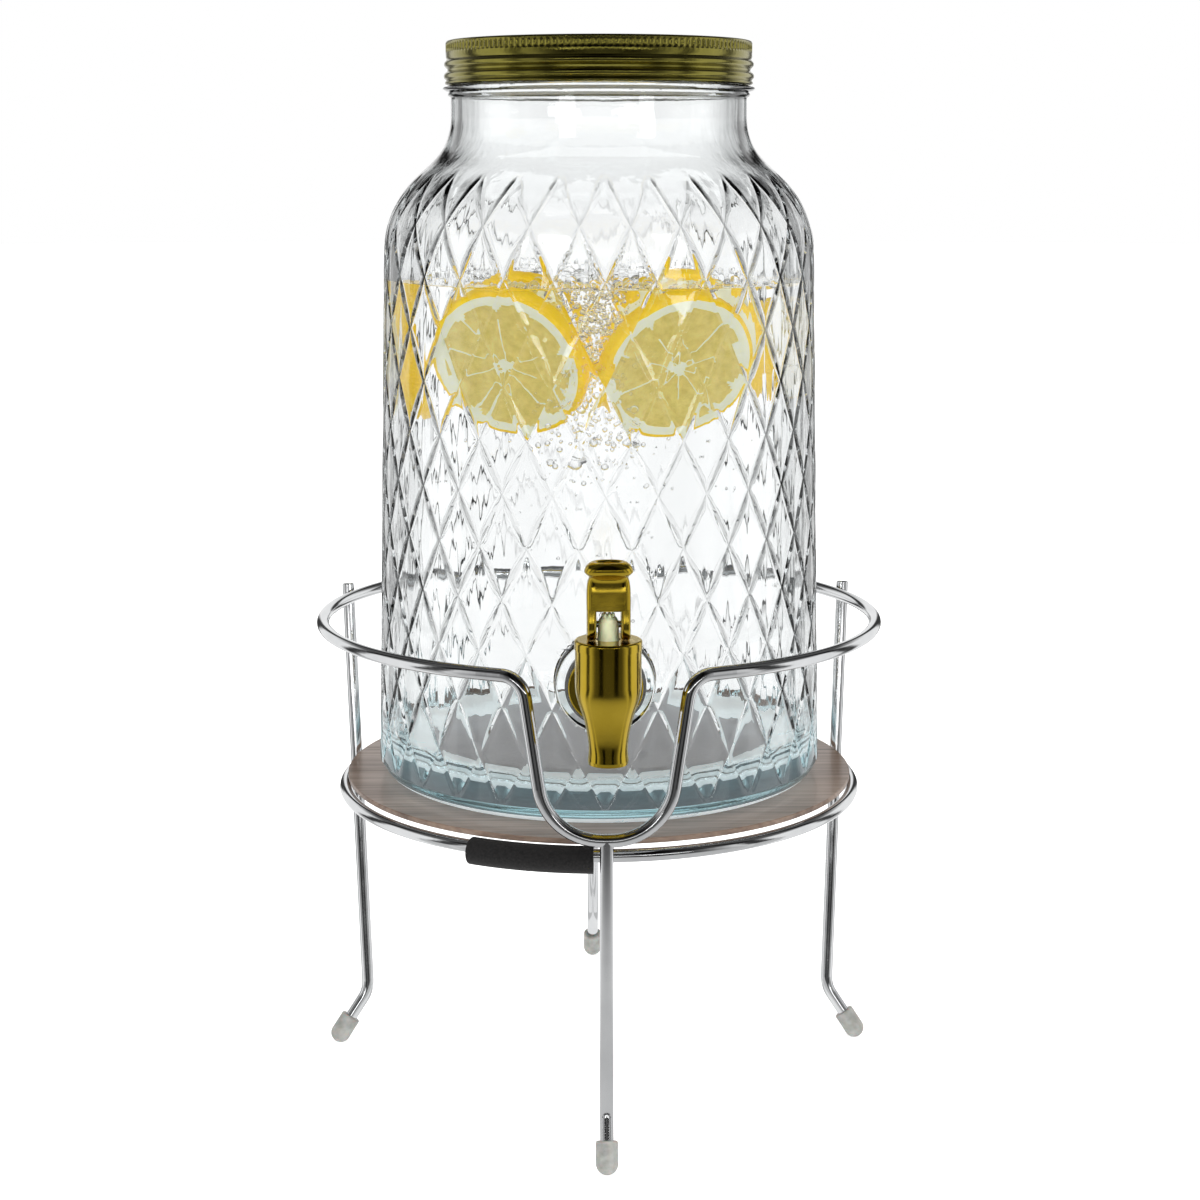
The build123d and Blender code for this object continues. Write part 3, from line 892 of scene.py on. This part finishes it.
def make_jar(materials):
    skin = Skin()
    rings, heights = patterned_rows(skin)
    join_patterned(skin, rings)
    rim = add_neck(skin, rings[-1], heights[-1])
    add_inside(skin, rim)
    add_base(skin, rings[0])
    add_boss(skin)
    jar = skin.build("jar_pressed_glass", materials, "jar", sharp_angle=24)
    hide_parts("glass_jar")


# ---- contents: water, bubbles and lemon slices --------------------------------------------
WATER_TOP = 0.3335
OVERLAP = 0.25 * MM                     # the water reaches this far into the glass, so no gap shows


def make_water(material):
    skin = Skin()
    count = 168
    corner = INNER_CORNER
    floor_z = inner_floor - OVERLAP
    wall = inner_radius(inner_floor + corner) + OVERLAP
    rings = []
    for share in (0.1, 0.35, 0.65, 0.9, 1.0):
        rings.append(skin.ring((wall - corner) * share, floor_z, count))
    for turn in np.linspace(0, math.pi / 2, 10)[1:]:
        radius = wall - corner + corner * math.sin(turn)
        rings.append(skin.ring(radius, floor_z + corner - corner * math.cos(turn), count))
    for height in np.arange(inner_floor + corner + 3 * MM, WATER_TOP - 1 * MM, 3 * MM):
        rings.append(skin.ring(inner_radius(height) + OVERLAP, height, count))
    edge = inner_radius(WATER_TOP)
    # the surface climbs the glass at its edge
    creep = ((-OVERLAP / MM, 0.9), (0.35, 0.6), (0.8, 0.36), (1.5, 0.17), (2.6, 0.05), (4.5, 0.0))
    for inset, rise in creep:
        rings.append(skin.ring(edge - inset * MM, WATER_TOP + rise * MM, count))
    for share in (0.8, 0.6, 0.4, 0.2, 0.05):
        rings.append(skin.ring(edge * share, WATER_TOP, count))
    skin.chain(rings)
    skin.fan(rings[0][::-1], (0, 0, floor_z))
    skin.fan(rings[-1], (0, 0, WATER_TOP))
    skin.build("water_fill", [material], "jar")


def ball(levels):
    form = bmesh.new()
    bmesh.ops.create_icosphere(form, subdivisions=levels, radius=1.0)
    points = [v.co.copy() for v in form.verts]
    faces = [tuple(v.index for v in f.verts) for f in form.faces]
    form.free()
    return points, faces


STREAM_BUBBLES = 1500
STRAY_BUBBLES = 260
# the big ones that hang under the slices, in mm
BIG_BUBBLES = (2.5, 2.1, 1.7, 1.6, 1.5, 1.4, 1.3, 1.3, 1.2, 1.1, 1.1, 1.0)


def bubble_places():
    """Centres and radii of the bubbles: a stream between the front slices and a few strays."""
    chance = random.Random(41)
    found = []

    def add(x, y, z, radius):
        room = inner_radius(z) - radius - 0.6 * MM
        if math.hypot(x, y) > room or z + radius > WATER_TOP - 0.4 * MM:
            return
        for a, b, c, size in found:
            if math.dist((x, y, z), (a, b, c)) < radius + size + 0.15 * MM:
                return
        found.append((x, y, z, radius))

    for radius in BIG_BUBBLES:
        x, y, z = chance.uniform(-26, 14), chance.uniform(-80, -74), chance.uniform(266, 280)
        add(x * MM, y * MM, z * MM, radius * MM)
    for _ in range(STREAM_BUBBLES):
        z = WATER_TOP - abs(chance.gauss(0, 30)) * MM
        spread = 5.5 + 0.09 * (WATER_TOP - z) / MM
        x = chance.gauss(-3, spread) * MM
        y = chance.uniform(-81, -60) * MM
        radius = min(1.6, 0.3 + chance.expovariate(3.2)) * MM
        add(x, y, z, radius)
    for _ in range(STRAY_BUBBLES):
        turn, far = chance.uniform(0, 2 * math.pi), 0.078 * math.sqrt(chance.random())
        z = chance.triangular(0.20, WATER_TOP - 2 * MM, WATER_TOP - 6 * MM)
        add(far * math.cos(turn), far * math.sin(turn), z, chance.uniform(0.25, 0.8) * MM)
    return found


def add_ball(skin, shape, x, y, z, radius, height):
    """Adds a ball, or a flattened one where height is less than radius."""
    points, faces = shape
    numbers = skin.add([(x + p.x * radius, y + p.y * radius, z + p.z * height) for p in points])
    for corners in faces:
        skin.face([numbers[c] for c in corners])


def make_bubbles(material):
    fine, coarse = ball(2), ball(1)
    skin = Skin()
    for x, y, z, radius in bubble_places():
        add_ball(skin, fine if radius > 0.8 * MM else coarse, x, y, z, radius, radius)
    skin.build("water_bubbles", [material], "jar", outward=False)


def make_foam(material):
    """A raft of half-sunk bubbles on the surface, between the slices and along the back."""
    chance = random.Random(77)
    fine = ball(2)
    skin = Skin()
    placed = []
    for _ in range(900):
        x, y = chance.gauss(0, 26) * MM, chance.uniform(-70, 70) * MM
        radius = chance.uniform(0.7, 2.4) * MM
        if math.hypot(x, y) > inner_radius(WATER_TOP) - radius - 2.5 * MM:
            continue
        if any(math.dist((x, y), (a, b)) < (radius + size) * 0.98 for a, b, size in placed):
            continue
        placed.append((x, y, radius))
        add_ball(skin, fine, x, y, WATER_TOP + 0.25 * radius, radius, 0.9 * radius)
    skin.build("surface_foam", [material], "jar", outward=False)


# ---- lemon slices -------------------------------------------------------------------------
PEEL, PITH, FLESH = 0, 1, 2             # a slice's material slots


def make_slice(name, centre, facing, radius, thickness, segments, spin, seed, materials):
    """One round slice. facing is where its cut face looks. Outside in: peel, pith, segments."""
    chance = random.Random(seed)
    axis = Vector(facing).normalized()
    side = axis.cross(Vector((0, 0, 1))).normalized()
    up = side.cross(axis).normalized()
    centre = Vector(centre)
    turns = 180
    skin = Skin()
    shares = [0.035, 0.07] + list(np.linspace(0.10, 0.86, 24)) + [0.885, 0.91, 0.935, 0.955, 0.975]
    bounds = []
    total = 0.0
    for _ in range(segments):
        step = 1 + chance.uniform(-0.18, 0.18)
        bounds.append(total)
        total += step
    bounds = [spin + 2 * math.pi * b / total for b in bounds] + [spin + 2 * math.pi]
    wobble = [chance.uniform(0, 6.28) for _ in range(4)]

    def outline(t):
        """A slice is not a perfect circle."""
        return radius * (1 + 0.012 * math.sin(2 * t + wobble[0]) + 0.008 * math.sin(3 * t + wobble[1]))

    def in_flesh(share, t):
        """How far a point lies inside a segment, in metres. Not above 0 in pith and membrane."""
        t = (t - spin) % (2 * math.pi) + spin
        for k in range(segments):
            low, high = bounds[k], bounds[k + 1]
            if low <= t < high:
                reach = min(t - low, high - t) * share * radius
                inner = share * radius - (2.6 + 0.7 * math.sin(3 * t + wobble[2])) * MM
                # the outer end of a segment is rounded
                bow = 0.5 * (high - low)
                far = 0.835 * radius * (1 - 0.06 * (abs((t - low) / bow - 1)) ** 4)
                outer = far - share * radius
                corner = min(reach - 0.17 * MM, outer, inner)
                round_off = 2.6 * MM
                if reach < round_off and outer < round_off:
                    corner = round_off - math.hypot(round_off - reach, round_off - outer) - 0.15 * MM
                return corner
        return -1.0

    def place(share, t, lift):
        r = outline(t) * share
        flat_point = side * (r * math.cos(t)) + up * (r * math.sin(t))
        return tuple(centre + flat_point + axis * lift)

    fronts = []
    for sign in (1, -1):
        rings = []
        for share in shares:
            points = []
            for i in range(turns):
                t = 2 * math.pi * i / turns
                depth = in_flesh(share, t)
                lift = thickness / 2
                if depth > 0:
                    lift -= min(0.45 * MM, depth * 0.6)
                    lift += 0.22 * MM * noise.noise(Vector((share * 24, t * 9, seed)))
                if share > 0.93:
                    lift -= (share - 0.93) * 12 * MM
                points.append(place(share, t, lift * sign))
            rings.append(skin.add(points))
        for k in range(len(rings) - 1):
            middle_share = (shares[k] + shares[k + 1]) / 2
            for i in range(turns):
                j = (i + 1) % turns
                t = 2 * math.pi * (i + 0.5) / turns
                slot = FLESH if in_flesh(middle_share, t) > 0 else PITH
                if middle_share > 0.945:
                    slot = PEEL
                skin.face((rings[k][i], rings[k][j], rings[k + 1][j], rings[k + 1][i]), slot)
        skin.fan(rings[0], tuple(centre + axis * (thickness / 2 * sign)), PITH)
        fronts.append(rings[-1])
    # peel between the two faces
    previous = fronts[0]
    for turn in np.linspace(0, math.pi, 8)[1:-1]:
        share = 0.975 + 0.025 * math.sin(turn)
        lift = (thickness / 2 - 0.54 * MM) * math.cos(turn)
        ring = skin.add([place(share, 2 * math.pi * i / turns, lift) for i in range(turns)])
        skin.join(previous, ring, PEEL)
        previous = ring
    skin.join(previous, fronts[1], PEEL)
    skin.build(name, materials, "jar")


def make_lemons(materials):
    radius = 30.5 * MM
    thick = 8.0 * MM
    # name, centre in mm, facing, radius, thickness, segments, spin, seed
    for name, centre, facing, size, thickness, segments, spin, seed in (
        ("front_left", (-35.0, -60.0, 305.5), (-0.42, -1.0, -0.40), radius, thick, 10, 0.3, 3),
        ("front_right", (27.0, -64.5, 304.5), (0.40, -1.0, -0.42), radius, thick, 10, 0.9, 8),
        ("left", (-75.0, 5.0, 304.0), (-1.0, -0.07, -0.08), radius * 0.93, thick, 9, 0.2, 11),
        ("right", (66.0, 40.0, 302.0), (1.0, 0.03, -0.05), radius * 0.72, 6 * MM, 9, 0.5, 14),
        ("back_left", (-32.0, -14.0, 308.0), (-0.15, -1.0, -0.35), radius, thick, 10, 0.1, 21),
        ("back_right", (31.0, -16.0, 309.0), (0.12, -1.0, -0.35), radius, thick, 10, 0.8, 25),
    ):
        middle = tuple(c * MM for c in centre)
        make_slice(
            "lemon_slice_" + name, middle, facing, size, thickness, segments, spin, seed, materials
        )


# ---- lid ----------------------------------------------------------------------------------
LID_TEETH = 150
LID_TOOTH = (0.0, 0.75, 1.0, 0.75)      # depths round one tooth of the knurled band
KNURL_DEPTH = 0.42 * MM
LID_POINTS = 96                         # points of a plain ring


def make_lid(material):
    """Pressed screw lid: knurled band, two rolled ridges and a curled lower edge."""
    low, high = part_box("lid_shell")
    top, bottom, reach = high.z, low.z, high.x
    count = LID_TEETH * len(LID_TOOTH)
    skin = Skin()
    profile = []                         # (radius, height, knurl depth)

    def point(offset, level, rise, deep=0.0):
        """A point at an offset from the wall and a rise over a level, both in mm."""
        profile.append((wall + offset * MM, level + rise * MM, deep))

    def arc(offset, height, size, start, stop, steps, squash=1.0):
        """A rolled ridge. offset and size are in mm, start and stop in degrees."""
        for turn in np.linspace(math.radians(start), math.radians(stop), steps):
            radius = wall + offset * MM + size * MM * math.cos(turn)
            profile.append((radius, height + size * MM * squash * math.sin(turn), 0.0))

    wall = reach - 1.3 * MM
    # from the inside of the lower curl, round it and up the outside
    point(-0.25, bottom, 1.5)
    arc(0.20, bottom + 0.75 * MM, 0.72, 180, 360, 8)
    point(0.35, bottom, 1.6)
    arc(0.10, bottom + 3.3 * MM, 1.2, -62, 62, 9, 1.15)
    point(-0.15, bottom, 5.2)
    point(-0.18, bottom, 5.9)
    arc(0.06, bottom + 8.0 * MM, 1.1, -64, 64, 9, 1.2)
    point(0.05, bottom, 9.9)
    point(0.42, bottom, 10.7)
    point(0.46, top, -4.9)
    for drop, deep in ((4.55, 0.3), (4.2, 1.0), (3.2, 1.0), (2.2, 1.0), (1.5, 0.9), (1.1, 0.35)):
        point(0.46, top, -drop, deep)
    arc(-0.55, top - 1.0 * MM, 1.0, 5, 88, 8)
    for inset, drop in ((2.6, 0), (3.1, 0.12), (3.7, 0.75), (4.3, 0.9)):
        point(-inset, top, -drop)
    profile.append((40 * MM, top - 0.9 * MM, 0))
    waves = np.tile(np.array(LID_TOOTH), LID_TEETH)
    previous = None
    for radius, height, deep in profile:
        ring = skin.ring(radius - KNURL_DEPTH * deep * waves, height, count)
        if previous is not None:
            skin.join(previous, ring)
        previous = ring
    small = skin.ring(38 * MM, top - 0.9 * MM, LID_POINTS)
    skin.zip(previous, small, flat_turn)
    last = skin.ring(15 * MM, top - 0.88 * MM, LID_POINTS)
    skin.join(small, last)
    skin.fan(last, (0, 0, top - 0.88 * MM))
    # inside wall and underside
    under = top - 1.7 * MM
    rings = [skin.ring(wall - 0.55 * MM, bottom + 1.6 * MM, LID_POINTS)]
    skin.zip(list(range(count)), rings[0], flat_turn)
    for radius, height in (
        (wall - 0.55 * MM, top - 2.0 * MM), (wall - 0.9 * MM, under), (50 * MM, under)
    ):
        rings.append(skin.ring(radius, height, LID_POINTS))
    skin.chain(rings)
    skin.fan(rings[-1], (0, 0, under))
    lid = skin.build("lid_pressed", [material], "lid", sharp_angle=40)
    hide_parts("lid_shell")


# ---- tap lever ----------------------------------------------------------------------------
LEVER_TOP = 23.0                        # the highest rise, in mm, at which the CAD lever is read


def make_lever(material):
    """Moulded lever: saucer-shaped finger pad, rounded shoulders and two legs astride the pin."""
    pin_low, pin_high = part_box("lever_pin")
    pin_y, pin_z = (pin_low.y + pin_high.y) / 2, (pin_low.z + pin_high.z) / 2
    tree = node_tree("tap_lever")

    def depth(rise):
        """Centre and half of the lever's depth at a height over the pin."""
        sides = []
        for way in (1, -1):
            start = Vector((6.4 * MM, pin_y - way * 50 * MM, pin_z + rise))
            sides.append(tree.ray_cast(start, Vector((0, way, 0)))[0].y)
        front, back = sides
        return (front + back) / 2, (back - front) / 2

    count = 72
    skin = Skin()

    def slab(x, half_x, y, half_y, height, power):
        """A rounded rectangle of points."""
        points = []
        for i in range(count):
            t = 2 * math.pi * i / count
            c, s = math.cos(t), math.sin(t)
            px = math.copysign(abs(c) ** (2 / power), c)
            py = math.copysign(abs(s) ** (2 / power), s)
            points.append((x + half_x * px, y + half_y * py, height))
        return skin.add(points)

    def stack(rings):
        skin.chain(rings)
        for ring in (rings[0], rings[-1]):
            middle = np.mean([skin.points[i] for i in ring], axis=0)
            skin.fan(ring, tuple(middle))

    # panel, shoulders and pad: height over the pin, half width, extra depth in mm, squareness
    shape = (
        (5.9, 7.6, -0.4, 5), (6.2, 7.95, 0, 5), (9, 8.0, 0, 4.6), (12.5, 7.95, 0, 4.4),
        (14.6, 7.8, 0, 4.2), (16.0, 7.6, 0, 3.9), (17.0, 7.3, 0, 3.6), (17.8, 7.1, 0, 3.3),
        (18.5, 7.3, 0, 3.0), (19.2, 8.1, 0.1, 2.7), (19.8, 8.7, 0.2, 2.5), (20.3, 8.85, 0.4, 2.5),
        (21.2, 8.6, 0.3, 2.5), (22.1, 8.2, 0.1, 2.5), (22.9, 7.4, -0.3, 2.5), (23.5, 6.5, -0.9, 2.5),
        (23.75, 5.6, -1.5, 2.5), (23.7, 4.7, -2.2, 2.5), (23.2, 4.3, -2.6, 2.4),
        (22.6, 3.9, -2.9, 2.3), (22.4, 2.0, -4.3, 2.2),
    )
    rings = []
    for rise, half_width, extra, power in shape:
        y, half_y = depth(min(rise, LEVER_TOP) * MM)
        rings.append(slab(0, half_width * MM, y, half_y + extra * MM, pin_z + rise * MM, power))
    stack(rings)
    # legs, from the panel down to the foot
    foot = (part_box("tap_lever")[0].z - pin_z) / MM
    for side in (-1, 1):
        rings = []
        for share in (0.0, 0.02, 0.06, 0.14, 0.28, 0.45, 0.62, 0.8, 0.94, 1.0):
            rise = foot + 0.15 + (6.4 - foot - 0.15) * share
            y, half_y = depth(rise * MM)
            ease = {0.0: 0.45, 0.02: 0.15}.get(share, 0) * MM
            rings.append(slab(side * 6.15 * MM, 1.8 * MM - ease, y, half_y - ease, pin_z + rise * MM, 4))
        stack(rings)
    lever = skin.build("lever_moulded", [material], "lever", sharp_angle=50)
    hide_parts("tap_lever")


CROWN_TEETH = 7
CROWN_R = 1.9 * MM


def make_crown(material):
    """Little moulded teeth round the top of the plunger's knob."""
    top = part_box("tap_plunger")[1].z
    pin_low, pin_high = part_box("lever_pin")
    middle_y = (pin_low.y + pin_high.y) / 2
    skin = Skin()
    for k in range(CROWN_TEETH):
        turn = 2 * math.pi * (k + 0.5) / CROWN_TEETH
        centre = (CROWN_R * math.cos(turn), middle_y + CROWN_R * math.sin(turn))
        rings = []
        for radius, rise in ((0.75, -1.9), (0.72, -0.6), (0.55, 0.1), (0.3, 0.42)):
            rings.append(skin.ring(radius * MM, top + rise * MM, 14, centre))
        skin.chain(rings)
        skin.fan(rings[-1], (*centre, top + 0.5 * MM))
        skin.fan(rings[0], (*centre, top - 2.0 * MM))
    skin.build("plunger_crown", [material], "plunger")


# ---- dress the carried-over CAD nodes -----------------------------------------------------
def dress(material, *names):
    for name in names:
        mesh = nodes[name].data
        mesh.materials.clear()
        mesh.materials.append(material)


def dress_nodes(gold, silicone):
    dress(
        chrome(), "lower_ring", "upper_ring", "leg_front", "leg_rear", "leg_left", "leg_right",
        "bar_cross", "bar_front", "bar_rear",
    )
    dress(cap_rubber(), "foot_cap_front", "foot_cap_rear", "foot_cap_left", "foot_cap_right")
    dress(foam(), "ring_sleeve")
    dress(walnut(), "base_board")
    dress(gold, "tap_body", "tap_bonnet", "tap_nut")
    dress(clear_silicone(), "tap_gasket_outer", "tap_gasket_inner")
    dress(silicone, "tap_plunger")
    dress(pin_steel(), "lever_pin")
    dress(liner_plastic(), "lid_liner")


# ---- everything ---------------------------------------------------------------------------
add_camera()
add_world()
add_lights()
add_floor()
bpy.context.scene.view_settings.view_transform = "Standard"
gold = gold_plastic()
silicone = cream_silicone()
dress_nodes(gold, silicone)
make_jar([glass(), frosted_glass(), misted_glass()])
make_water(water())
film = foam_film()
make_bubbles(film)
make_foam(film)
make_lemons([peel(), pith(), flesh()])
make_lid(gold_lacquer())
make_lever(gold)
make_crown(silicone)
